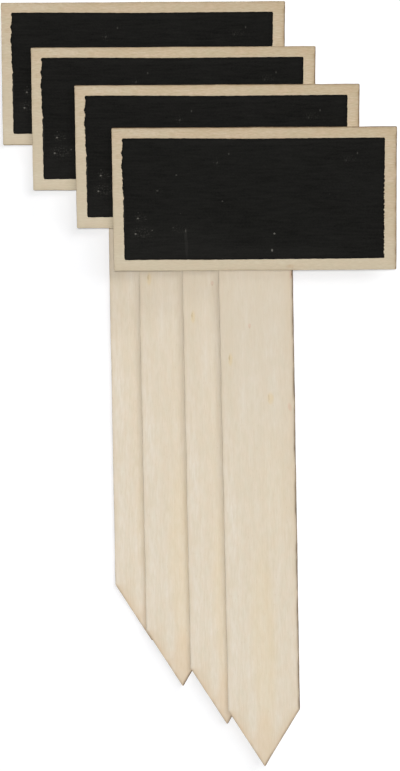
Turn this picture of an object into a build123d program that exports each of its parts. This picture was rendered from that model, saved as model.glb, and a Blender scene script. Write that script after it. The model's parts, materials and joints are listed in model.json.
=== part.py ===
from build123d import *
import math
import os

# Four chalkboard plant labels, laid in a fan, face up on a flat surface.
# Lengths are in millimetres and angles in degrees.
# Each label is a wide head board glued across the front of a long pointed stake.
# Both boards are cut by a laser from the same sheet of three-ply wood.
# A label is drawn lying on its back, in its own frame: X runs across it, Y up it, Z out of its face.
# The origin of that frame is on the back of the stake, under the middle of the head's lower edge.

# The sheet of three-ply that both boards are cut from
face_ply = 0.8
core_ply = 1.4

# The beam spreads on its way in, so a board is this much larger all round at its back than at its face
cut_flare = 0.08

# The head board, measured at its face, with its width taken across the middle. It is cut a little out of
# square: each side closes in by this much from its upper corner to its lower one.
head_width = 79.7
head_height = 40.1
head_closing = 0.45
head_corner = 0.25

# The stake, measured at its face: it narrows slightly from its upper end to the shoulders of its point.
# The skew is how far it leans in the plane of the head, because it is glued by eye.
stake_width = 20.9
shoulder_width = 20.0
stake_showing = 140.1
stake_behind_head = 30.0
point_length = 15.9
stake_corner = 0.25
tip_radius = 0.2
stake_skew = 0.68

# The glue between stake and head, pressed out to a film that stops short of the edges
glue_thickness = 0.15
glue_inset = 1.0

# The chalkboard coat on the head's face, and the bare wood that is left round it
coat_thickness = 0.12
coat_margin_left = 3.0
coat_margin_right = 3.2
coat_margin_top = 2.95
coat_margin_bottom = 3.0
coat_corner = 0.5

# The coat's left edge is brushed by eye and wavers out over its margin. Each pair of shares is a place up
# the coat's height, and how much of the waver it strays there.
coat_waver = 0.4
waver_shares = [
    (0.12, 0.0), (0.35, 0.2), (0.51, 0.0), (0.58, 0.25), (0.61, 0.75), (0.67, 0.2),
    (0.71, 0.75), (0.78, 1.0), (0.84, 0.4), (0.88, 0.8), (0.94, 0.1),
]

# The fan: how far each label lies to the right of the one under it, and how far down towards the points
fan_right_2 = 8.8
fan_down_2 = 12.9
fan_right_3 = 12.6
fan_down_3 = 10.7
fan_right_4 = 10.7
fan_down_4 = 11.85

# The air left where one label rests on another
seat_gap = 0.1

# Heights in a label, from the back of its stake
sheet_thickness = face_ply + core_ply + face_ply
head_back = sheet_thickness + glue_thickness
head_face = head_back + sheet_thickness

# Each wall slants by this much from the square
flare_angle = math.degrees(math.atan(cut_flare / sheet_thickness))

# A label lies on the one under it in two places: on the lower edge of that head, and near the tip of that
# stake. So it leans, head up, by the height of a head over the length of a stake.
lean_slope = (head_face - sheet_thickness) / stake_showing
lean = math.degrees(math.atan(lean_slope))

# Where the coat stands above the line from that edge, the label rests on the coat instead
coat_proud = max(0, coat_thickness - coat_margin_bottom * lean_slope)


def side_at(up):
    # How far the head's sides stand from its middle line, at a height up its face
    return head_width / 2 + head_closing * (up / head_height - 1 / 2)


def head_outline():
    # Four straight sides with barely rounded corners, at the size that the flared board has at its back
    high = head_height + cut_flare
    wide_low = side_at(0) + cut_flare
    wide_high = side_at(head_height) + cut_flare
    corners = [(-wide_low, -cut_flare), (wide_low, -cut_flare), (wide_high, high), (-wide_high, high)]
    board = make_face(Polyline(corners, close=True))
    return fillet(board.vertices(), head_corner)


def stake_outline():
    # A slightly closing strip with a pointed lower end, at its size at the back, turned by the skew
    half_top = stake_width / 2 + cut_flare
    half_shoulder = shoulder_width / 2 + cut_flare
    top = stake_behind_head + cut_flare
    shoulder = point_length - stake_showing
    tip = -stake_showing - cut_flare
    corners = [(-half_top, top), (-half_shoulder, shoulder), (0, tip), (half_shoulder, shoulder), (half_top, top)]
    strip = make_face(Polyline(corners, close=True))
    strip = fillet(strip.vertices().sort_by(Axis.Y)[1:], stake_corner)
    strip = fillet(strip.vertices().sort_by(Axis.Y)[0], tip_radius)
    return Rot(Z=stake_skew) * strip


def plies(outline, base):
    # Back, core and front ply: each stands on the face of the one below, which the flare made smaller
    stack = []
    face = Pos(Z=base) * outline
    for thickness in (face_ply, core_ply, face_ply):
        ply = extrude(face, amount=thickness, taper=flare_angle)
        stack.append(ply)
        face = ply.faces().sort_by(Axis.Z)[-1]
    return stack


def glue_film():
    # The part of the stake's face that the head covers, drawn in on all sides
    width = min(stake_width, shoulder_width) - 2 * glue_inset
    height = stake_behind_head - 2 * glue_inset
    patch = Pos(0, stake_behind_head / 2, sheet_thickness) * Rectangle(width, height)
    return extrude(Rot(Z=stake_skew) * patch, amount=glue_thickness)


def coat_left(up, stray=0):
    # A point on the coat's left edge, at a height up the head's face
    return (coat_margin_left - side_at(up) - stray, up)


def chalk_coat():
    # The head's face less its four margins: three masked straight edges and the brushed one on the left.
    # The margins at the sides are even, so the coat closes in downwards as the head does.
    low = coat_margin_bottom
    high = head_height - coat_margin_top
    first = coat_left(low + 2 * coat_corner)
    last = coat_left(high - 2 * coat_corner)
    waver = [coat_left(low + share * (high - low), stray * coat_waver) for share, stray in waver_shares]
    run = (last[0] - first[0], last[1] - first[1])
    brushed = Spline([first, *waver, last], tangents=[run, run])
    right_high = (side_at(high) - coat_margin_right, high)
    right_low = (side_at(low) - coat_margin_right, low)
    masked = Polyline([last, coat_left(high), right_high, right_low, coat_left(low), first])
    panel = make_face([brushed, masked])
    rows = panel.vertices().group_by(Axis.Y)
    panel = fillet(rows[0] + rows[-1], coat_corner)
    return extrude(Pos(Z=head_face) * panel, amount=coat_thickness)


def label_pieces():
    # The pieces of one label, from the back to the front, in its own frame
    stake_back, stake_core, stake_front = plies(stake_outline(), 0)
    head_back_ply, head_core, head_front = plies(head_outline(), head_back)
    return {
        "stake_back_ply": stake_back,
        "stake_core_ply": stake_core,
        "stake_front_ply": stake_front,
        "glue_film": glue_film(),
        "head_back_ply": head_back_ply,
        "head_core_ply": head_core,
        "head_front_ply": head_front,
        "chalk_coat": chalk_coat(),
    }


def label_places():
    # The lowest label lies flat, and each of the others leans on the one under it
    steps = [(fan_right_2, fan_down_2), (fan_right_3, fan_down_3), (fan_right_4, fan_down_4)]
    places = [Location()]
    for right, down in steps:
        rise = head_face + coat_proud + seat_gap - down * lean_slope
        places.append(places[-1] * Location((right, -down, rise), (lean, 0, 0)))
    return places


def build():
    # All four labels, with the middle of the fan's foot print at the origin and its lowest face at zero
    pieces = label_pieces()
    fan = {}
    for number, place in enumerate(label_places(), start=1):
        for name, piece in pieces.items():
            fan[f"label_{number}_{name}"] = place * piece
    box = Compound([*fan.values()]).bounding_box()
    middle = Pos(-box.center().X, -box.center().Y, -box.min.Z)
    return {name: middle * piece for name, piece in fan.items()}, [middle * place for place in label_places()]


def report(places):
    # What the fan's record needs: each label's origin, tip and the middle of its coat, in metres
    coat_x = (coat_margin_left - coat_margin_right) / 2
    coat_y = (head_height + coat_margin_bottom - coat_margin_top) / 2
    for number, place in enumerate(places, start=1):
        marks = {
            "origin": Pos(0, 0, 0),
            "tip": Rot(Z=stake_skew) * Pos(0, -stake_showing, sheet_thickness / 2),
            "coat": Pos(coat_x, coat_y, head_face + coat_thickness),
        }
        for name, mark in marks.items():
            spot = (place * mark).position
            print(f"label {number} {name}: {spot.X:.3f} {spot.Y:.3f} {spot.Z:.3f}, lean {lean * (number - 1):.4f}")


os.makedirs("parts", exist_ok=True)
solids, places = build()
for node, solid in solids.items():
    solid.label = node
    export_step(solid, f"parts/{node}.step")
report(places)
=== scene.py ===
import json
import math

import bpy
import numpy as np
from mathutils import Matrix, Vector


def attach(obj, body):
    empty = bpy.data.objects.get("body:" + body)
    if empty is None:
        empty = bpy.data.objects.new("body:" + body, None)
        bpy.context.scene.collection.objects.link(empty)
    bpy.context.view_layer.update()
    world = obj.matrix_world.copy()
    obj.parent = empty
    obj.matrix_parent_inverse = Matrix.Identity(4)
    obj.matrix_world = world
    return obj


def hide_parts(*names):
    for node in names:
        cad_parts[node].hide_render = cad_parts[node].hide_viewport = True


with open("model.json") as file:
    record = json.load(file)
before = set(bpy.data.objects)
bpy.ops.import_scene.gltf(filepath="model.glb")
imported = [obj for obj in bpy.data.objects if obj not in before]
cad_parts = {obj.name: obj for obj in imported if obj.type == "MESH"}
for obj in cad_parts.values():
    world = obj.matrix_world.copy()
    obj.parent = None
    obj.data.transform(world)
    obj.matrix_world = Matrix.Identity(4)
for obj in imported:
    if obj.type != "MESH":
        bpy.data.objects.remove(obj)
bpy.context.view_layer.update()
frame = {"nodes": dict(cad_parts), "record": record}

# Four wooden plant labels in a fan, face up on a white table, seen from above.
# Boards and coats are worked out in each label's own frame in millimetres: X across, Y up the label,
# Z out of its face, origin on the back of the stake under the middle of the head's lower edge.

millimetre = 0.001
print("frame loaded:", len(frame["nodes"]), "nodes")

sheet = {  # three-ply, cut by a laser
    "facePly": 0.8,
    "corePly": 1.4,
    "flare": 0.08,  # the beam cuts wider at the back
    "glue": 0.15,
}
sheet["thickness"] = 2 * sheet["facePly"] + sheet["corePly"]
headBase = sheet["thickness"] + sheet["glue"]


def srgb(code):
    # A hex colour turned to linear: the low end is a straight line, the rest a power of 2.4
    parts = [int(code[i:i + 2], 16) / 255 for i in (1, 3, 5)]
    return [p / 12.92 if p <= 0.04045 else ((p + 0.055) / 1.055) ** 2.4 for p in parts] + [1.0]


def addNode(tree, kind, inputs=None, **settings):
    # Adds one node: an input that is given an output socket is linked, and any other is set
    made = tree.nodes.new("ShaderNode" + kind)
    for key, value in settings.items():
        setattr(made, key, value)
    for key, value in (inputs or {}).items():
        if isinstance(value, bpy.types.NodeSocket):
            tree.links.new(value, made.inputs[key])
        else:
            made.inputs[key].default_value = value
    return made


def newMaterial(name):
    # An empty node tree with its output
    material = bpy.data.materials.new(name)
    material.use_nodes = True
    tree = material.node_tree
    tree.nodes.clear()
    return material, tree, tree.nodes.new("ShaderNodeOutputMaterial")


# Where the labels lie, read from the mounts at their points

stake = {
    "width": 20.9,
    "shoulderWidth": 20.0,
    "showing": 140.1,
    "behindHead": 30.0,
    "point": 15.9,
    "skew": 0.68,  # degrees, glued by eye
    "pitch": 0.95,  # between grid lines
    "cornerReach": 0.28,
    "rough": 0.05, "roughWaves": (9, 17, 34, 61, 97),  # how far the cut strays
    "seed": 11,
    "burn": 0.52, "burnDepth": 0.28, "burnWaves": (23, 41, 67, 103),  # the burnt line and its ups and downs
    "burnReach": 0.37, "burnShape": 2,
    "pulse": 18.0, "pulseAt": -84.5, "pulseDepth": 0.25,  # darkest at this height and every pulse from it
    "leastBurn": 0.12, "topBurn": 0.3, "leftBurn": 0.25, "flankBurn": 0.4, "crossingShade": 0.0,
    "edgeWarm": 0.5, "warmReach": 1.5, "warmWaves": (29, 47, 83, 131),  # the tan beside the burnt line
    "pointWarm": 1.25,
}
mounts = {mount["name"]: mount for mount in frame["record"]["mounts"]}


def labelFrame(number):
    # The point mount gives the tip and the way the stake runs down; the lean is that way's slope
    mount = mounts[f"soil_point_{number}"]
    down = Vector(mount["axis"])
    turn = Matrix.Rotation(math.atan2(-down.z, -down.y), 3, "X")
    skew, reach = math.radians(stake["skew"]), stake["showing"]
    tip = Vector((math.sin(skew) * reach, -math.cos(skew) * reach, sheet["thickness"] / 2))
    origin = Vector(mount["pos_m"]) - turn @ tip * millimetre
    return np.array(turn), np.array(origin)


def placed(points, place):
    # From a label's frame in millimetres to the shared frame in metres
    turn, origin = place
    return points @ turn.T * millimetre + origin


places = {number: labelFrame(number) for number in range(1, 5)}
for number, (turn, origin) in places.items():
    print("label", number, "stands at", [round(float(v) * 1000, 3) for v in origin])


# Surfaces

def straight(start, end, steps):
    # Points on a straight side, at the shares in steps
    start, end = np.array(start, float), np.array(end, float)
    return start + (end - start) * steps[:, None]


def joined(low, right, high, left):
    # One closed loop from four sides: along the foot, up the right, back along the top, down the left
    return np.concatenate([low[:-1], right[:-1], high[::-1][:-1], left[::-1][:-1]])


def outward(loop):
    # The outward normal of each point: its neighbours' difference, turned a quarter clockwise
    run = np.roll(loop, -1, axis=0) - np.roll(loop, 1, axis=0)
    run /= np.linalg.norm(run, axis=1)[:, None]
    return np.stack([run[:, 1], -run[:, 0]], axis=1)


def lengthAlong(loop):
    # Distance round the loop to each point, with the whole length last
    steps = np.linalg.norm(np.roll(loop, -1, axis=0) - loop, axis=1)
    return np.concatenate([[0], np.cumsum(steps)])


def waver(along, counts, seed):
    # A sum of sines, each with a whole number of waves round the loop, and lower the shorter its waves
    draw = np.random.default_rng(seed)
    phases = draw.uniform(0, 2 * math.pi, len(counts))
    turns = 2 * math.pi * along[:-1] / along[-1]
    waves = [np.sin(turns * n + p) / math.sqrt(n) for n, p in zip(counts, phases)]
    return np.sum(waves, axis=0) * math.sqrt(min(counts)) / math.sqrt(len(counts))


def ramp(values, start, end):
    # 0 at start and 1 at end, straight between them and flat beyond
    return np.clip((values - start) / (end - start), 0, 1)


def readOff(values, curve):
    # A curve is pairs of a place and what it gives there, with straight lines between them
    return np.interp(values, *np.array(curve).T)


def coonsPatch(loop, u, t):
    # Coons patch: the blend of foot and top plus the blend of left and right, less the blend of the corners
    n, m = len(u), len(t)
    low, right = loop[:n], loop[n - 1:n + m - 1]
    high = loop[n + m - 2:2 * n + m - 2][::-1]
    left = np.concatenate([loop[2 * n + m - 3:], loop[:1]])[::-1]
    u, t = u[None, :, None], t[:, None, None]
    ruled = (1 - t) * low[None] + t * high[None] + (1 - u) * left[:, None] + u * right[:, None]
    foot = (1 - u) * low[0] + u * low[-1]
    top = (1 - u) * high[0] + u * high[-1]
    return ruled - (1 - t) * foot - t * top


def gridQuads(n, m, first, flip):
    # The quads of a grid of m rows of n points, seen from above, or turned over
    row, column = np.meshgrid(np.arange(m - 1), np.arange(n - 1), indexing="ij")
    corner = first + row * n + column
    quads = np.stack([corner, corner + 1, corner + n + 1, corner + n], axis=-1).reshape(-1, 4)
    return quads[:, ::-1] if flip else quads


def rimOf(n, m, first):
    # The points of a grid's rim, in the loop's order
    foot = np.arange(n)
    right = np.arange(1, m) * n + n - 1
    top = (m - 1) * n + np.arange(n - 2, -1, -1)
    left = np.arange(m - 2, 0, -1) * n
    return first + np.concatenate([foot, right, top, left])


def slab(outline, u, t, rings, stray, lift=None, bevels=0):
    # A thin slab. Each ring is the outline moved along its normals by (outset + stray), at its height.
    # The first ring bounds the Coons patch of the face and the last that of the back; the others join them.
    # The strips between the first rings, as many as bevels says, are finished as the face is.
    n, m = len(u), len(t)
    normals = outward(outline)
    around = lengthAlong(outline)
    loops = [outline + normals * (outset + stray)[:, None] for height, outset in rings]
    face, back = coonsPatch(loops[0], u, t), coonsPatch(loops[-1], u, t)
    flat = np.concatenate([face.reshape(-1, 2), back.reshape(-1, 2)] + loops[1:-1])
    heights = [np.full(n * m, rings[0][0]), np.full(n * m, rings[-1][0])]
    heights += [np.full(len(outline), height) for height, outset in rings[1:-1]]
    points = np.column_stack([flat, np.concatenate(heights)])
    if lift is not None:
        points[:n * m, 2] += lift(points[:n * m, :2])
    quads = [gridQuads(n, m, 0, False), gridQuads(n, m, n * m, True)]
    maps = [points[q.reshape(-1), :2] for q in quads]
    ring = [rimOf(n, m, 0)]
    ring += [2 * n * m + k * len(outline) + np.arange(len(outline)) for k in range(len(rings) - 2)]
    ring += [rimOf(n, m, n * m)]
    for k in range(len(rings) - 1):
        upper, lower = ring[k], ring[k + 1]
        wall = np.stack([lower, np.roll(lower, -1), np.roll(upper, -1), upper], axis=1)
        quads.append(wall)
        if k < bevels:
            maps.append(points[wall.reshape(-1), :2])
            continue
        across = np.stack([around[:-1], around[1:], around[1:], around[:-1]], axis=1)
        maps.append(np.stack([across, points[wall, 2]], axis=2).reshape(-1, 2))
    onWall = np.arange(sum(len(q) for q in quads)) >= len(quads[0]) + len(quads[1]) + len(outline) * bevels
    return points, np.concatenate(quads), np.concatenate(maps), onWall


def nearest(points, loop, atOnce=2000):
    # For each point, its distance to the outline and the number of the nearest outline run. The distance is
    # to the place on a run that is square to the point, kept between the run's ends.
    gap = np.zeros(len(points))
    where = np.zeros(len(points), int)
    run = (np.roll(loop, -1, axis=0) - loop)[None]
    for first in range(0, len(points), atOnce):  # some at a time, to spare memory
        part = points[first:first + atOnce, None, :]
        share = np.clip(((part - loop) * run).sum(2) / (run ** 2).sum(2), 0, 1)
        away = np.linalg.norm(loop + run * share[:, :, None] - part, axis=2)
        where[first:first + atOnce] = away.argmin(1)
        gap[first:first + atOnce] = away.min(1)
    return gap, where


def makePiece(name, shape, place, materials, values):
    # A mesh object at the origin with its place in its points; the map holds millimetres along the board
    points, quads, flatMap, onWall = shape
    mesh = bpy.data.meshes.new(name)
    mesh.from_pydata(placed(points, place), [], quads.tolist())
    for material in materials:
        mesh.materials.append(material)
    mesh.polygons.foreach_set("material_index", onWall.astype(np.int32))
    mesh.polygons.foreach_set("use_smooth", np.ones(len(quads), bool))
    layer = mesh.uv_layers.new(name="board")
    layer.uv.foreach_set("vector", flatMap.astype(np.float32).ravel())
    for key, numbers in values.items():
        attribute = mesh.attributes.new(key, "FLOAT", "POINT")
        attribute.data.foreach_set("value", numbers.astype(np.float32))
    mesh.update()
    piece = bpy.data.objects.new(name, mesh)
    bpy.context.scene.collection.objects.link(piece)
    return piece


# Each board is built once in its own frame and placed four times

spacing = {
    "nearEnds": (0, 0.07, 0.15, 0.25, 0.38, 0.55, 0.8, 1.2),  # rows this far from each end of a side
    "evenFrom": 1.7,
}


def stepsFor(length, pitch):
    # Shares of a side's length: even places about a pitch apart, and closer ones near both ends
    near, even = np.array(spacing["nearEnds"]), spacing["evenFrom"]
    middle = np.linspace(even, length - even, round((length - 2 * even) / pitch) + 1)
    return np.concatenate([near, middle, length - near[::-1]]) / length


def rounded(loop, reach):
    # Each point becomes the mean of the outline over a reach either side: the integral of the outline
    # between the two ends of that stretch, over its length. Corners turn round and straights stay.
    along = lengthAlong(loop)
    closed = np.concatenate([loop, loop[:1]])
    run = np.diff(closed, axis=0) / np.diff(along)[:, None]
    middles = (closed[1:] + closed[:-1]) / 2
    summed = np.concatenate([np.zeros((1, 2)), np.cumsum(middles * np.diff(along)[:, None], axis=0)])

    def upTo(place):
        turns, rest = np.divmod(place, along[-1])
        i = np.clip(np.searchsorted(along, rest, side="right") - 1, 0, len(loop) - 1)
        past = (rest - along[i])[:, None]
        return turns[:, None] * summed[-1] + summed[i] + closed[i] * past + run[i] * past ** 2 / 2

    return (upTo(along[:-1] + reach) - upTo(along[:-1] - reach)) / (2 * reach)


def flareAt(height, base):
    # How far the wall stands out at a height: none at the face, the whole flare at the back
    return sheet["flare"] * (base + sheet["thickness"] - height) / sheet["thickness"]


# The rings of each ply's wall, from its upper side to its lower one: a share of the ply's thickness, the
# millimetres from there, and how far the ring is drawn in from the flared wall. The core chars most.
plyWalls = {
    "back": [(1, 0, 0), (0, 0.12, 0), (0, 0.03, -0.02), (0, 0, -0.06)],
    "core": [(1, 0, -0.02), (1, -0.12, -0.05), (0.5, 0, -0.06), (0, 0.12, -0.05), (0, 0, -0.02)],
    "front": [(1, 0, -0.09), (1, -0.02, -0.04), (1, -0.06, -0.01), (1, -0.15, 0), (0, 0, 0)],
}
frontBevels = 2  # strips of the front ply's wall that are sanded round, and finished as its face is


def plyRings(ply, base):
    # Height and outset of each ring of a ply's wall
    low = base + {"back": 0, "core": sheet["facePly"], "front": sheet["facePly"] + sheet["corePly"]}[ply]
    thickness = sheet["corePly"] if ply == "core" else sheet["facePly"]
    rings = []
    for share, away, bend in plyWalls[ply]:
        height = low + share * thickness + away
        rings.append((height, flareAt(height, base) + bend))
    return rings


def stakeOutline():
    # Left shoulder, tip, right shoulder, and up to the square upper end
    halfTop, halfShoulder = stake["width"] / 2, stake["shoulderWidth"] / 2
    top, shoulder, tip = stake["behindHead"], stake["point"] - stake["showing"], -stake["showing"]
    flank = stepsFor(math.hypot(halfShoulder, stake["point"]), stake["pitch"])
    leftFlank = straight((-halfShoulder, shoulder), (0, tip), flank)
    rightFlank = straight((0, tip), (halfShoulder, shoulder), flank)
    low = np.concatenate([leftFlank[:-1], rightFlank])
    u = np.concatenate([flank[:-1] / 2, 0.5 + flank / 2])
    t = stepsFor(top - shoulder, stake["pitch"])
    right = straight((halfShoulder, shoulder), (halfTop, top), t)
    left = straight((-halfShoulder, shoulder), (-halfTop, top), t)
    high = straight((-halfTop, top), (halfTop, top), u)
    return rounded(joined(low, right, high, left), stake["cornerReach"]), u, t


head = {
    "width": 79.7,
    "height": 40.1,
    "closing": 0.45,
    "pitch": 1.0,
    "cornerReach": 0.28,
    "rough": 0.045, "roughWaves": (7, 13, 29, 53, 83),
    "seed": 23,
    "burn": 0.6, "burnDepth": 0.5, "burnWaves": (19, 37, 59, 88, 141),
    "burnReach": 0.28, "burnShape": 1,
    "pulse": 13.5, "pulseAt": 28.2, "pulseDepth": 0.35,
    # The last of these darkens the head's foot where it lies over the stake: painted contact shade, not burn
    "leastBurn": 0.12, "topBurn": 0.5, "leftBurn": 0.25, "flankBurn": 0.12, "crossingShade": 0.4,
    "edgeWarm": 0.35, "warmReach": 1.0, "warmWaves": (31, 53, 79, 113), "pointWarm": 0.0,
}


def sideAt(up):
    # How far the head's sides stand from its middle line, at a height up its face
    return head["width"] / 2 + head["closing"] * (up / head["height"] - 0.5)


def headOutline():
    # Four straight sides that stand on the X axis and close in a little downwards
    high = head["height"]
    u, t = stepsFor(head["width"], head["pitch"]), stepsFor(high, head["pitch"])
    corners = [(-sideAt(0), 0), (sideAt(0), 0), (sideAt(high), high), (-sideAt(high), high)]
    low, right = straight(corners[0], corners[1], u), straight(corners[1], corners[2], t)
    top, left = straight(corners[3], corners[2], u), straight(corners[0], corners[3], t)
    return rounded(joined(low, right, top, left), head["cornerReach"]), u, t


beam = {  # a pair is a ramp over how squarely an edge faces a way, from 0 to 1
    "right": 1.2,  # the burn on an edge is this times how squarely it faces right
    "left": (0.5, 1.0), "flank": (0.25, 0.5), "foot": (0.5, 1.0),
    "crossing": (12.0, 11.0),  # millimetres from the head's middle, where its foot crosses the stake and is darkened with painted shade
    "tan": (0.0, 0.625), "tanMean": 0.8, "tanSwing": 0.6,  # on edges that face down, and its patches
}


def edgeValues(points, loop, look):
    # What the beam left on the wood near an edge, and painted shade where the head's foot lies over the
    # stake. Tan falls off as exp(-distance / reach), and burn and that shade as exp(-(distance / reach) ^
    # shape).
    # Round the loop the burn goes up and down as the beam's speed does: a cosine up the board and a waver.
    # The way that the edge faces sets its share, the largest of four, one of them the painted shade. Tan is
    # patchy, by another waver.
    along = lengthAlong(loop)
    facingX, facingY = outward(loop).T
    pulse = 0.5 * np.cos(2 * math.pi * (loop[:, 1] - look["pulseAt"]) / look["pulse"])
    wander = waver(along, look["burnWaves"], look["seed"] + 1)
    burn = np.clip(look["burn"] + look["pulseDepth"] * pulse + look["burnDepth"] * wander, 0, 1)
    # Painted shade: the head's foot darkens where it lies over the stake, as a contact shadow would
    crossing = ramp(-facingY, *beam["foot"]) * ramp(np.abs(loop[:, 0]), *beam["crossing"])
    side = np.max([
        np.clip(facingX * beam["right"] + look["topBurn"] * facingY, look["leastBurn"], 1),
        look["leftBurn"] * ramp(-facingX, *beam["left"]),
        look["flankBurn"] * ramp(-facingY, *beam["flank"]),
        look["crossingShade"] * crossing,
    ], axis=0)
    patches = beam["tanMean"] + beam["tanSwing"] * waver(along, look["warmWaves"], look["seed"] + 2)
    flank = ramp(-facingY, *beam["tan"]) * look["pointWarm"] * np.clip(patches, 0, 1)
    gap, where = nearest(points[:, :2], loop)
    return {
        "scorchAndShade": (burn * side)[where] * np.exp(-(gap / look["burnReach"]) ** look["burnShape"]),
        "warm": np.clip(look["edgeWarm"] * side + flank, 0, 1)[where] * np.exp(-gap / look["warmReach"]),
    }


def boardPlies(outline, u, t, look, base):
    # The three plies of a board, each a slab with its edge values
    stray = look["rough"] * waver(lengthAlong(outline), look["roughWaves"], look["seed"])
    plies = {}
    for ply in ("back", "core", "front"):
        bevels = frontBevels if ply == "front" else 0
        shape = slab(outline, u, t, plyRings(ply, base), stray, bevels=bevels)
        plies[ply] = (shape, edgeValues(shape[0], outline, look))
    return plies


boards = {
    "stake": boardPlies(*stakeOutline(), stake, 0.0),
    "head": boardPlies(*headOutline(), head, headBase),
}
print("boards worked out:", {key: len(plies["front"][0][0]) for key, plies in boards.items()}, "points a ply")


# The chalkboard coat: masked on three sides and brushed by eye on the left

coat = {
    "left": 3.0, "right": 3.2, "top": 2.95, "bottom": 3.0,  # bare margins of the head
    "pitchUp": 0.26, "pitchAcross": 0.6, "cornerReach": 0.45,
    "seed": 37,
    "waver": 0.4,  # the left side's wavers and the rises are curves over the shares of a side's length
    "wavers": [(0, 0), (0.12, 0.0), (0.35, 0.2), (0.51, 0.0), (0.58, 0.25), (0.61, 0.75), (0.67, 0.2),
               (0.71, 0.75), (0.78, 1.0), (0.84, 0.4), (0.88, 0.8), (0.94, 0.1), (1, 0)],
    "topRises": [(0, 0.15), (0.1, 0.15), (0.3, 0.03), (0.49, -0.12), (0.7, -0.05), (1, 0)],  # the tape bows
    "footRises": [(0, 0.04), (0.18, 0.11), (0.3, 0.02), (0.6, 0.1), (0.87, 0.16), (1, 0.28)],
    "teeth": 0.32, "teethRound": 239, "teethSwing": 3.0, "swingWaves": (37, 61, 89),
    "teethUp": [(3.5, 0.5), (6, 1), (26, 1), (30, 0.1)],  # a curve over the height up the head
    "ragged": 0.12, "raggedWaves": (60, 110, 190, 310), "raggedLeast": 0.3,
    "raggedUp": [(14, 0.3), (20, 1)],
    "thickness": 0.12, "rim": 0.035, "rimOut": 0.02, "rimReach": 0.3,
    "swell": 0.3, "bead": 0.015, "beadAt": 0.55, "beadWidth": 0.25,
}


def coatSlab():
    # The head's face less its margins. Its top and foot bow by their rises and its left side goes out by the
    # wavers, read off along their length. Its right side has fine teeth, the upper halves of a sine, where
    # paint crept under the mask, and a waver roughens it all round, most at the left.
    # The film rises from a thin rim as 1 - exp(-distance / swell), with a low bead just inside, a bell curve
    # of the distance.
    low, high = coat["bottom"], head["height"] - coat["top"]
    footLeft, footRight = (coat["left"] - sideAt(low), low), (sideAt(low) - coat["right"], low)
    topLeft, topRight = (coat["left"] - sideAt(high), high), (sideAt(high) - coat["right"], high)
    u = stepsFor(footRight[0] - footLeft[0], coat["pitchAcross"])
    t = stepsFor(high - low, coat["pitchUp"])
    foot, top = straight(footLeft, footRight, u), straight(topLeft, topRight, u)
    foot[:, 1] += readOff(u, coat["footRises"])
    top[:, 1] += readOff(u, coat["topRises"])
    right, left = straight(foot[-1], top[-1], t), straight(foot[0], top[0], t)
    left[:, 0] -= coat["waver"] * readOff(t, coat["wavers"])
    loop = rounded(joined(foot, right, top, left), coat["cornerReach"])
    along = lengthAlong(loop)
    facing, up = outward(loop)[:, 0], loop[:, 1]
    swing = coat["teethSwing"] * waver(along, coat["swingWaves"], coat["seed"] + 1)
    comb = np.sin(2 * math.pi * coat["teethRound"] * along[:-1] / along[-1] + swing)
    toothed = np.clip(facing, 0, 1) * readOff(up, coat["teethUp"])
    brushed = np.clip(-facing, 0, 1) * readOff(up, coat["raggedUp"])
    ragged = (coat["raggedLeast"] + brushed) * waver(along, coat["raggedWaves"], coat["seed"])
    stray = coat["ragged"] * ragged - coat["teeth"] * toothed * np.clip(comb, 0, 1)
    face = headBase + sheet["thickness"]
    rings = [(face + coat["rim"], 0), (face + coat["rim"] / 2, coat["rimOut"]), (face, coat["rimOut"])]

    def lift(flat):
        gap = nearest(flat, loop)[0]
        rise = (coat["thickness"] - coat["rim"]) * (1 - np.exp(-gap / coat["swell"]))
        return rise + coat["bead"] * np.exp(-((gap - coat["beadAt"]) / coat["beadWidth"]) ** 2)

    shape = slab(loop, u, t, rings, stray, lift)
    return shape, {"rim": np.exp(-nearest(shape[0][:, :2], loop)[0] / coat["rimReach"])}


coatShape, coatValues = coatSlab()
print("coat worked out:", len(coatShape[0]), "points")


# Materials

def spots(tree, coords, marks):
    # One factor from listed ellipses: whole within 0.4 of an ellipse, none outside it, and the strongest
    # wins. A mark is its middle, its half-width and half-height, its turn in degrees and its strength.
    total = None
    for x, y, across, up, turn, strength in marks:
        own = addNode(tree, "Mapping", {"Vector": coords, "Location": (x, y, 0), "Scale": (across, up, 1),
                                        "Rotation": (0, 0, math.radians(turn))}, vector_type="TEXTURE")
        away = addNode(tree, "VectorMath", {0: own.outputs[0]}, operation="LENGTH")
        part = addNode(tree, "MapRange", {"Value": away.outputs["Value"], "From Min": 1.0, "From Max": 0.4,
                                          "To Min": 0.0, "To Max": strength}, interpolation_type="SMOOTHSTEP")
        if total is None:
            total = part.outputs[0]
        else:
            total = addNode(tree, "Math", {0: total, 1: part.outputs[0]}, operation="MAXIMUM").outputs[0]
    return total


noiseWay = (1.0, 1.7, 0.3)  # a pattern's shift moves it this way, so that no two lie on the same noise


def grainNoise(tree, coords, pattern, shift=0.0):
    # Noise drawn out along the grain. A pattern is its size across and along the grain in millimetres, its
    # detail, its own shift, and the lowest and highest noise, which are spread to 0 and 1.
    across, along, detail, ownShift, low, high = pattern
    shift += ownShift
    stretched = addNode(tree, "Mapping", {"Vector": coords, "Scale": (1 / across, 1 / along, 1),
                                          "Location": tuple(shift * way for way in noiseWay)})
    noise = addNode(tree, "TexNoise", {"Vector": stretched.outputs[0], "Scale": 1.0, "Detail": detail,
                                       "Roughness": 0.55}).outputs[0]
    return addNode(tree, "MapRange", {"Value": noise, "From Min": low, "From Max": high}).outputs[0]


def layered(tree, code, layers):
    # Lays colours over one another. A layer is a factor, a colour and the strength that scales the factor.
    colour = srgb(code)
    for factor, over, strength in layers:
        share = addNode(tree, "Math", {0: factor, 1: strength}, operation="MULTIPLY").outputs[0]
        colour = addNode(tree, "Mix", {0: share, 6: colour, 7: srgb(over)}, data_type="RGBA").outputs[2]
    return colour


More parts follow.
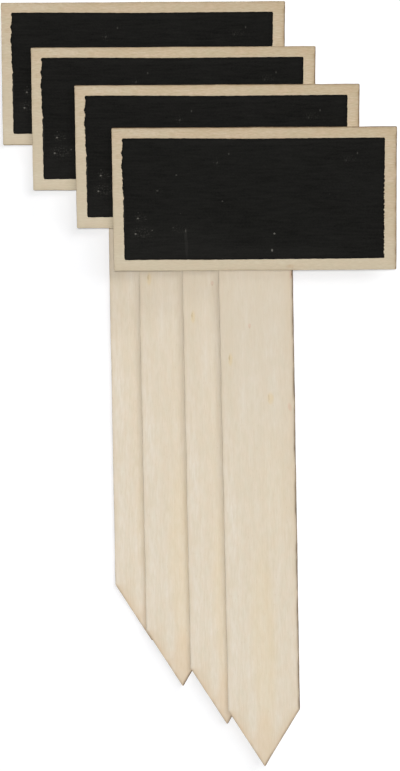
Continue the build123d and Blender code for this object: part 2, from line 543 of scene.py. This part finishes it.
def surfaced(tree, out, colour, relief, look):
    # The shader, with the bump that a relief gives and a look's roughness and specular level
    bump = addNode(tree, "Bump", {"Height": relief, "Strength": look["bump"],
                                  "Distance": look["bumpDepth"] * millimetre})
    shader = addNode(tree, "BsdfPrincipled", {"Base Color": colour, "Normal": bump.outputs[0],
                                              "Roughness": look["roughness"],
                                              "Specular IOR Level": look["specular"]})
    tree.links.new(shader.outputs[0], out.inputs[0])


# The patterns of a veneer, in the order in which they are laid, each as grainNoise takes it. Real fibres and
# ray flecks are a few hundredths of a millimetre wide: drawn as wide as a pixel of the render, they show.
veneerGrain = {
    "high": (5.0, 70.0, 2.0, 0, 0.35, 0.65),
    "blush": (2.2, 5.0, 2.0, 17, 0.38, 0.62),
    "cool": (2.0, 4.0, 2.0, 23, 0.42, 0.66),
    "streak": (0.8, 20.0, 4.0, 5, 0.3, 0.7),
    "fibre": (0.3, 3.0, 3.0, 9, 0.3, 0.7),
    "fleck": (0.28, 1.3, 2.0, 13, 0.66, 0.74),
}
sandedWood = {
    "roughness": 0.78, "specular": 0.25, "bump": 0.35, "bumpDepth": 0.03,
    "swaySize": (20.0, 50.0),  # across and along the grain
    "fray": 0.25, "frayScale": 1.6,  # how far a mark's outline strays, and how often in a millimetre
}
stakeLook = {  # each pattern's colour and strength, over the low colour
    **sandedWood,
    "turn": 0, "shift": 3.0, "sway": 1.0, "grain": veneerGrain,
    "low": "#E3D7C4", "high": ("#E8DFD1", 1.0), "blush": ("#E3CDB1", 0.24), "cool": ("#D5D0B8", 0.22),
    "streak": ("#D3C3A4", 0.23), "fibre": ("#CBBB9E", 0.34), "fleck": ("#C2AC86", 0.3),
    # The drift darkens the stake towards the head's foot: painted shade under the head as well as the wood's
    # tone
    "drift": ("#D0C3AE", 0.52), "driftFrom": (0, -70), "driftTo": (0, 2),
    "tan": ("#CEAF88", 0.55), "charAndShade": ("#5C4833", 1.0),
}
headLook = {
    **sandedWood,
    "turn": 90, "shift": 11.0, "sway": 1.4, "grain": {**veneerGrain, "fibre": (0.3, 1.7, 3.0, 9, 0.3, 0.7)},
    "low": "#CCBBA0", "high": ("#D6C8B1", 1.0), "blush": ("#D2B397", 0.32), "cool": ("#C5BD9F", 0.35),
    "streak": ("#B49E77", 0.32), "fibre": ("#AD9774", 0.58), "fleck": ("#A58D66", 0.35),
    "drift": ("#D6CEB9", 0.42), "driftFrom": (7, 43), "driftTo": (0, -3),
    "tan": ("#BFA37A", 0.5), "charAndShade": ("#745736", 1.0),
}

# What can be picked out on the front label: the middle, half-sizes, turn and strength of each mark
stakeMarks = {
    "#DCC79C": [(-7.5, -25.2, 0.8, 2.4, 0, 0.55), (3.6, -36.3, 1.2, 2.2, 0, 0.5)],
    "#E0C99B": [(0.3, -104.0, 4.8, 36.0, 1, 0.24), (4.2, -62.0, 4.5, 26.0, 1, 0.06)],
    "#DCC09A": [(0.0, -131.0, 3.4, 9.0, 0, 0.3)],
    "#D3A68E": [(-1.9, -15.8, 0.55, 0.9, 0, 0.3), (9.0, -38.8, 0.7, 1.6, 10, 0.35),
                (9.9, -1.6, 0.45, 1.5, 0, 0.45)],
    "#AC946E": [(-7.75, -24.7, 0.22, 1.3, 0, 0.4), (3.1, -36.1, 0.2, 1.3, 0, 0.35),
                (-1.9, -16.2, 0.2, 0.4, 0, 0.25)],
    "#5E422B": [(10.35, -1.4, 0.35, 1.5, 0, 0.9)],
}
headMarks = {
    "#BE9D7A": [(10.0, 1.1, 1.5, 0.8, 8, 0.25)],
    "#A17C58": [(9.8, 1.2, 0.5, 0.25, 8, 0.2), (10.6, 0.7, 0.3, 0.3, 0, 0.15)],
}


def veneer(name, look, marks):
    # Basswood, peeled as veneer and sanded: pale and even, with faint streaks along the grain, fibres that
    # only show as a soft brushed texture, and short ray flecks. Dry and unfinished, so it hardly shines.
    material, tree, out = newMaterial(name)
    board = addNode(tree, "UVMap", uv_map="board").outputs[0]
    turned = addNode(tree, "Mapping", {"Vector": board,
                                       "Rotation": (0, 0, math.radians(look["turn"]))}).outputs[0]
    # The streaks bend a little, so the grain's own place sways across by half a millimetre or so
    across, along = look["swaySize"]
    slow = addNode(tree, "Mapping", {"Vector": turned, "Scale": (1 / across, 1 / along, 1)}).outputs[0]
    sway = addNode(tree, "TexNoise", {"Vector": slow, "Scale": 1.0, "Detail": 1.0}).outputs[1]
    swayed = addNode(tree, "VectorMath", {0: sway, 1: (look["sway"], 0, 0), 2: turned},
                     operation="MULTIPLY_ADD").outputs[0]
    grains = {key: grainNoise(tree, swayed, numbers, look["shift"]) for key, numbers in look["grain"].items()}
    layers = [(grain, *look[key]) for key, grain in grains.items()]
    # The colour drifts across the board, along the line from one place to another. On the stakes it darkens
    # and greys towards the head's foot: painted shade under the head as well as the wood's tone.
    start, end = Vector(look["driftFrom"]), Vector(look["driftTo"])
    way = (end - start) / (end - start).length_squared
    run = addNode(tree, "VectorMath", {0: board, 1: (way.x, way.y, 0)}, operation="DOT_PRODUCT")
    drift = addNode(tree, "MapRange", {"Value": run.outputs["Value"], "From Min": way.dot(start),
                                       "From Max": way.dot(end)}, interpolation_type="SMOOTHSTEP").outputs[0]
    layers.append((drift, *look["drift"]))
    if marks:
        fray = look["fray"]
        frayed = addNode(tree, "TexNoise", {"Vector": board, "Scale": look["frayScale"], "Detail": 3.0})
        place = addNode(tree, "VectorMath", {0: frayed.outputs[1], 1: (2 * fray, 2 * fray, 0), 2: board},
                        operation="MULTIPLY_ADD").outputs[0]
        place = addNode(tree, "VectorMath", {0: place, 1: (-fray, -fray, 0)}).outputs[0]
        layers += [(spots(tree, place, group), code, 1.0) for code, group in marks.items()]
    warm = addNode(tree, "Attribute", attribute_name="warm").outputs["Fac"]
    # The char colour is laid by the burn values, which also hold painted contact shade at the head's foot
    # over the stake
    scorchAndShade = addNode(tree, "Attribute", attribute_name="scorchAndShade").outputs["Fac"]
    layers += [(warm, *look["tan"]), (scorchAndShade, *look["charAndShade"])]
    relief = addNode(tree, "Math", {0: grains["fibre"], 1: grains["streak"]}, operation="ADD").outputs[0]
    surfaced(tree, out, layered(tree, look["low"], layers), relief, look)
    return material


charredWood = {
    "roughness": 0.85, "specular": 0.2, "bump": 0.5, "bumpDepth": 0.04,
    "grain": {"pale": (0.35, 5.0, 2.0, 0, 0.3, 0.7), "layer": (6.0, 0.22, 2.0, 3, 0.3, 0.7)},
    "sparedFrom": 0.16, "sparedTo": 0.04,  # a burnt line weaker than this leaves wood to see on the wall
}
edgeLook = {
    **charredWood, "shift": 5.0, "low": "#8A6C48", "pale": ("#B89B72", 1.0), "layer": ("#9A7C55", 0.35),
    "wood": ("#D6C29C", 0.6), "black": ("#3A2A1B", 0.6),
}
coreLook = {
    **charredWood, "shift": 8.0, "low": "#6B4F33", "pale": ("#947553", 1.0), "layer": ("#7B5E3F", 0.35),
    "wood": ("#C9B088", 0.45), "black": ("#2B2017", 0.6),
}


def charredEdge(name, look):
    # Laser-cut end and side grain: the beam leaves a brown charred skin, striped across by its pulses
    # and paler where it moved fast. At the head's foot over the stake the wall is also darkened with painted
    # shade.
    material, tree, out = newMaterial(name)
    board = addNode(tree, "UVMap", uv_map="board").outputs[0]
    grains = {key: grainNoise(tree, board, numbers, look["shift"]) for key, numbers in look["grain"].items()}
    scorchAndShade = addNode(tree, "Attribute", attribute_name="scorchAndShade").outputs["Fac"]
    spared = addNode(tree, "MapRange", {"Value": scorchAndShade, "From Min": look["sparedFrom"],
                                        "From Max": look["sparedTo"]}).outputs[0]
    layers = [(grain, *look[key]) for key, grain in grains.items()]
    # The black and the lost wood also paint the contact shade at the head's foot over the stake
    layers += [(spared, *look["wood"]), (scorchAndShade, *look["black"])]
    surfaced(tree, out, layered(tree, look["low"], layers), grains["pale"], look)
    return material


stakeFace = veneer("basswoodVeneerStakeFace", stakeLook, stakeMarks)
stakeBack = veneer("basswoodVeneerStakeBack", {**stakeLook, "shift": 21.0}, {})
headFace = veneer("basswoodVeneerHeadFace", headLook, headMarks)
headBack = veneer("basswoodVeneerHeadBack", {**headLook, "shift": 29.0}, {})
plyEdge = charredEdge("laserCharredVeneerEdge", edgeLook)
coreEdge = charredEdge("laserCharredCoreEdge", coreLook)
innerLook = {**stakeLook, "shift": 33.0, "low": "#C8B592", "high": ("#D0BF9F", 1.0)}  # darker inside
coreFace = veneer("basswoodCoreVeneer", innerLook, {})

paintLook = {
    "roughness": 0.9, "specular": 0.09, "bump": 0.4, "bumpDepth": 0.03,
    "low": "#040403", "clouds": ("#0D0D0C", 1.0), "brush": ("#242321", 0.36), "grit": ("#232320", 0.34),
    "ghosts": ("#77756F", 1.0), "dust": ("#55534E", 1.0), "specks": ("#696761", 1.0),
    "streaks": ("#77756F", 1.0), "rim": ("#030302", 0.8),
}
paintGrain = {  # real grit is finer than this: it is drawn as wide as a pixel of the render, to show
    "clouds": (14.0, 9.0, 3.0, 7.0, 0.3, 0.7),
    "brush": (0.6, 6.0, 4.0, 4.0, 0.3, 0.7),
    "grit": (0.28, 0.42, 2.0, 2.0, 0.3, 0.7),
    "dust": (0.34, 0.34, 1.0, 6.0, 0.52, 0.7),
}
coatMarks = {  # what can be picked out on the front coat, each mark as on the boards
    "ghosts": [(-24.0, 7.0, 24.0, 9.0, 0, 0.012), (-4.0, 4.5, 40.0, 3.4, 0, 0.015),
               (-2.0, 36.5, 40.0, 1.6, 0, 0.012)],
    "dust": [(-31.8, 10.7, 4.4, 2.4, 0, 0.24), (-32.2, 15.0, 2.2, 1.9, 0, 0.24),
             (-26.9, 22.4, 2.2, 1.4, 0, 0.14), (-10.6, 30.4, 1.6, 1.9, 0, 0.14),
             (26.8, 31.2, 2.6, 1.6, 0, 0.14), (-21.0, 11.6, 3.0, 1.6, 0, 0.2)],
    "specks": [  # pale dots of chalk and bare pinholes
        (-21.9, 26.9, 0.36, 0.32, 0, 0.28), (-7.1, 32.8, 0.28, 0.42, 0, 0.22),
        (-10.4, 30.3, 0.26, 0.4, -20, 0.22), (-27.3, 22.5, 0.36, 0.32, 0, 0.26),
        (-9.0, 19.5, 0.3, 0.26, 0, 0.34), (-32.8, 14.8, 0.32, 0.28, 0, 0.9),
        (-32.7, 16.4, 0.3, 0.26, 0, 0.16), (-33.5, 10.4, 0.36, 0.3, 0, 0.9),
        (-28.8, 11.4, 0.3, 0.26, 0, 0.36), (-22.9, 12.1, 0.3, 0.26, 0, 0.2),
        (-19.4, 11.2, 0.24, 0.5, 0, 0.32), (-20.8, 16.1, 0.26, 0.24, 0, 0.12),
        (29.1, 32.8, 0.26, 0.4, 0, 0.28), (25.9, 30.7, 0.28, 0.26, 0, 0.14),
        (5.6, 10.3, 0.36, 0.36, 0, 0.8), (4.9, 5.6, 0.34, 0.5, 0, 1.0),
        (21.2, 21.3, 0.26, 0.24, 0, 0.08), (-30.6, 14.5, 0.5, 0.2, 0, 0.12),
    ],
    "streaks": [(-19.2, 7.0, 0.6, 5.0, 2, 0.035), (-19.4, 10.0, 0.5, 2.2, -3, 0.05),
                # A painted highlight: a pale line just inside the coat's left side, where its bead would
                # catch the light
                (-36.6, 14.0, 0.2, 9.0, 0, 0.12)],
}


def chalkboardPaint():
    # Acrylic chalkboard paint, brushed across: a dead matte black with a gritty tooth, faint brush lines,
    # a ghost of wiped chalk, patches of its dust and a few pale pinholes. Its rim is darkest, and a pale line
    # inside its left side is a painted highlight on its bead.
    material, tree, out = newMaterial("brushedChalkboardPaint")
    board = addNode(tree, "UVMap", uv_map="board").outputs[0]
    turned = addNode(tree, "Mapping", {"Vector": board, "Rotation": (0, 0, math.radians(90))}).outputs[0]
    factors = {
        "clouds": grainNoise(tree, board, paintGrain["clouds"]),
        "brush": grainNoise(tree, turned, paintGrain["brush"]),
        "grit": grainNoise(tree, turned, paintGrain["grit"]),
        **{key: spots(tree, board, group) for key, group in coatMarks.items()},
        "rim": addNode(tree, "Attribute", attribute_name="rim").outputs["Fac"],
    }
    dust = grainNoise(tree, board, paintGrain["dust"])
    factors["dust"] = addNode(tree, "Math", {0: dust, 1: factors["dust"]}, operation="MULTIPLY").outputs[0]
    layers = [(factor, *paintLook[key]) for key, factor in factors.items()]
    relief = addNode(tree, "Math", {0: factors["grit"], 1: factors["brush"]}, operation="ADD").outputs[0]
    surfaced(tree, out, layered(tree, paintLook["low"], layers), relief, paintLook)
    return material


glueLook = {
    "roughness": 0.38,
    "low": "#B89A62", "milky": ("#D2BD8E", 1.0), "patches": (3.0, 3.0, 3.0, 6.0, 0.35, 0.65),
}


def driedGlue():
    # Wood glue, pressed out and dried: a honey-coloured, slightly glossy film with a few milky patches
    material, tree, out = newMaterial("driedWoodGlue")
    place = addNode(tree, "TexCoord").outputs["Object"]
    scale = 1 / millimetre
    millimetres = addNode(tree, "Mapping", {"Vector": place, "Scale": (scale, scale, scale)}).outputs[0]
    patches = grainNoise(tree, millimetres, glueLook["patches"])
    colour = layered(tree, glueLook["low"], [(patches, *glueLook["milky"])])
    shader = addNode(tree, "BsdfPrincipled", {"Base Color": colour, "Roughness": glueLook["roughness"]})
    tree.links.new(shader.outputs[0], out.inputs[0])
    return material


chalkPaint = chalkboardPaint()
glueSkin = driedGlue()
print("materials made:", len(bpy.data.materials))


# The pieces of each label

finishes = {
    ("stake", "front"): (stakeFace, plyEdge), ("stake", "core"): (coreFace, coreEdge),
    ("stake", "back"): (stakeBack, plyEdge), ("head", "front"): (headFace, plyEdge),
    ("head", "core"): (coreFace, coreEdge), ("head", "back"): (headBack, plyEdge),
}
for number, (turn, origin) in places.items():
    body = f"label_{number}"
    skewed = turn @ np.array(Matrix.Rotation(math.radians(stake["skew"]), 3, "Z"))
    for board, plies in boards.items():
        for ply, (shape, values) in plies.items():
            node = f"{body}_{board}_{ply}_ply"
            place = (skewed if board == "stake" else turn, origin)
            piece = makePiece(node + "_wood", shape, place, finishes[board, ply], values)
            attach(piece, body)
            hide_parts(node)
    both = [chalkPaint, chalkPaint]  # face and wall
    paint = makePiece(f"{body}_chalk_coat_paint", coatShape, (turn, origin), both, coatValues)
    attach(paint, body)
    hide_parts(f"{body}_chalk_coat")
    film = frame["nodes"][f"{body}_glue_film"]
    film.data.materials.clear()
    film.data.materials.append(glueSkin)
print("labels dressed:", len(places))


# The table, the light and the camera

studio = {
    "floorHalf": 3.0, "floorDrop": 0.0002, "floorColour": "#F1F2F4", "floorGlow": 0.16,
    "light": "#FFFFFF", "dome": 0.06, "backdrop": 1.0,  # the dome lights things, and the backdrop is seen
    "lamps": {  # share of the light on the table, lean from upright, bearing from +X and softness, in degrees
        "overhead": (0.685, 2.69, -24.0, 2.5),
        "near": (0.09, 9.6, 31.0, 7.0),
        "low": (0.10, 19.4, 18.0, 15.0),
        "side": (0.065, 41.0, 72.0, 14.0),
    },
}


def seenDirectly(tree):
    # 1 for rays that meet this from the camera, a gloss or a glass, and 0 for light that falls on things
    path = addNode(tree, "LightPath").outputs
    seen = path["Is Camera Ray"]
    for kind in ("Is Glossy Ray", "Is Transmission Ray"):
        seen = addNode(tree, "Math", {0: seen, 1: path[kind]}, operation="MAXIMUM").outputs[0]
    return seen


def tableTop():
    # Painted white board: plain, matt, and kept white to the eye where no shadow falls on it
    material, tree, out = newMaterial("mattWhiteTable")
    glow = addNode(tree, "Math", {0: seenDirectly(tree), 1: studio["floorGlow"]}, operation="MULTIPLY")
    shader = addNode(tree, "BsdfPrincipled", {
        "Base Color": srgb(studio["floorColour"]), "Roughness": 1.0, "Specular IOR Level": 0.0,
        "Emission Color": srgb(studio["light"]), "Emission Strength": glow.outputs[0]})
    tree.links.new(shader.outputs[0], out.inputs[0])
    half, height = studio["floorHalf"], -studio["floorDrop"]
    corners = [(-half, -half, height), (half, -half, height), (half, half, height), (-half, half, height)]
    mesh = bpy.data.meshes.new("tableTop")
    mesh.from_pydata(corners, [], [(0, 1, 2, 3)])
    mesh.materials.append(material)
    floor = bpy.data.objects.new("tableTop", mesh)
    bpy.context.scene.collection.objects.link(floor)


def lightUp():
    # A lamp's strength is its share of the light over the cosine of its lean, times pi, so that a white
    # surface lying flat under all of them renders as 1
    world = bpy.data.worlds.new("studio")
    bpy.context.scene.world = world
    world.use_nodes = True
    tree = world.node_tree
    tree.nodes.clear()
    light = srgb(studio["light"])
    dome = addNode(tree, "Background", {"Color": light, "Strength": studio["dome"]}).outputs[0]
    seen = addNode(tree, "Background", {"Color": light, "Strength": studio["backdrop"]}).outputs[0]
    mixed = addNode(tree, "MixShader", {0: seenDirectly(tree), 1: dome, 2: seen}).outputs[0]
    tree.links.new(mixed, tree.nodes.new("ShaderNodeOutputWorld").inputs[0])
    for name, (share, lean, bearing, softness) in studio["lamps"].items():
        lamp = bpy.data.lights.new(name, "SUN")
        lamp.energy = math.pi * share / math.cos(math.radians(lean))
        lamp.angle = math.radians(softness)
        lit = bpy.data.objects.new(name, lamp)
        lit.rotation_euler = (0, math.radians(lean), math.radians(bearing))
        bpy.context.scene.collection.objects.link(lit)


view = {
    "yaw": 2.5, "pitch": -1.0, "roll": -0.257,  # degrees off straight down, and about the line of sight
    "distance": 4.83, "target": (-0.00004, -0.00065, 0.012),
    "pixelsPerMetre": 3548.1, "frameHeight": 771, "sensor": 36.0,
}


def placeCamera():
    # The line of sight leans from upright by yaw and pitch, and the lens gives the scale at the target
    away = Vector((math.sin(math.radians(view["yaw"])), math.sin(math.radians(view["pitch"])), 0))
    away.z = math.sqrt(1 - away.length_squared)
    right = Vector((0, 1, 0)).cross(away).normalized()
    up = away.cross(right)
    roll = math.radians(view["roll"])
    right, up = right * math.cos(roll) + up * math.sin(roll), up * math.cos(roll) - right * math.sin(roll)
    data = bpy.data.cameras.new("camera")
    data.sensor_fit = "VERTICAL"
    data.sensor_height = view["sensor"]
    data.lens = view["sensor"] * view["distance"] * view["pixelsPerMetre"] / view["frameHeight"]
    camera = bpy.data.objects.new("camera", data)
    camera.matrix_world = Matrix.Translation(Vector(view["target"]) + away * view["distance"]) @ Matrix(
        [right, up, away]).transposed().to_4x4()
    bpy.context.scene.collection.objects.link(camera)
    bpy.context.scene.camera = camera


tableTop()
lightUp()
placeCamera()
bpy.context.scene.view_settings.view_transform = "Standard"
print("studio set up")
